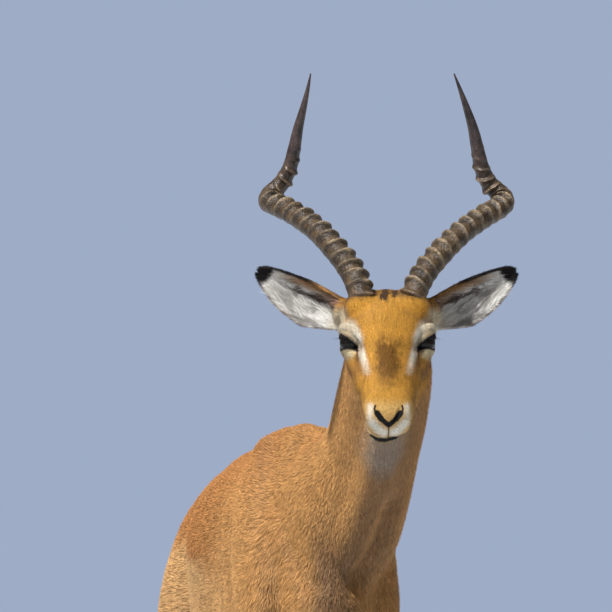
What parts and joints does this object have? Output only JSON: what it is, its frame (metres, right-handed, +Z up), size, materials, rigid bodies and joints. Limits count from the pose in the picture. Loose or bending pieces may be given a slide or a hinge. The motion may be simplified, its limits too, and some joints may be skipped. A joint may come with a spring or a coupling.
{
  "type": "impala antelope, life-size still model",
  "caption": "Adult male impala antelope standing square on its hooves, its neck raised and its head turned to face the viewer: a life-size still model with ridged, lyre-shaped horns.",
  "frame": {"origin": "on the floor plane, under the centre of the bounding box", "axes": "+Z up; the body lies along Y with its chest towards -Y and its tail towards +Y; +X is the animal's own left"},
  "size_m": [0.3372, 1.3416, 1.3767],
  "materials": {
    "coat": "short glossy hair",
    "leg_coat": "short glossy hair",
    "horn": "ridged horn, worn smooth at the tips",
    "eye": "wet gloss",
    "hoof": "satin"
  },
  "bodies": {
    "root": {"trunk": "coat", "neck": "coat", "head": "coat", "ear_left": "coat", "ear_right": "coat", "eye_left": "eye", "eye_right": "eye", "horn_left": "horn", "horn_right": "horn", "tail": "coat", "foreleg_left": "leg_coat", "foreleg_right": "leg_coat", "hindleg_left": "leg_coat", "hindleg_right": "leg_coat", "hoof_fore_left_inner": "hoof", "hoof_fore_left_outer": "hoof", "hoof_fore_right_inner": "hoof", "hoof_fore_right_outer": "hoof", "hoof_hind_left_inner": "hoof", "hoof_hind_left_outer": "hoof", "hoof_hind_right_inner": "hoof", "hoof_hind_right_outer": "hoof"}
  },
  "joints": []
}
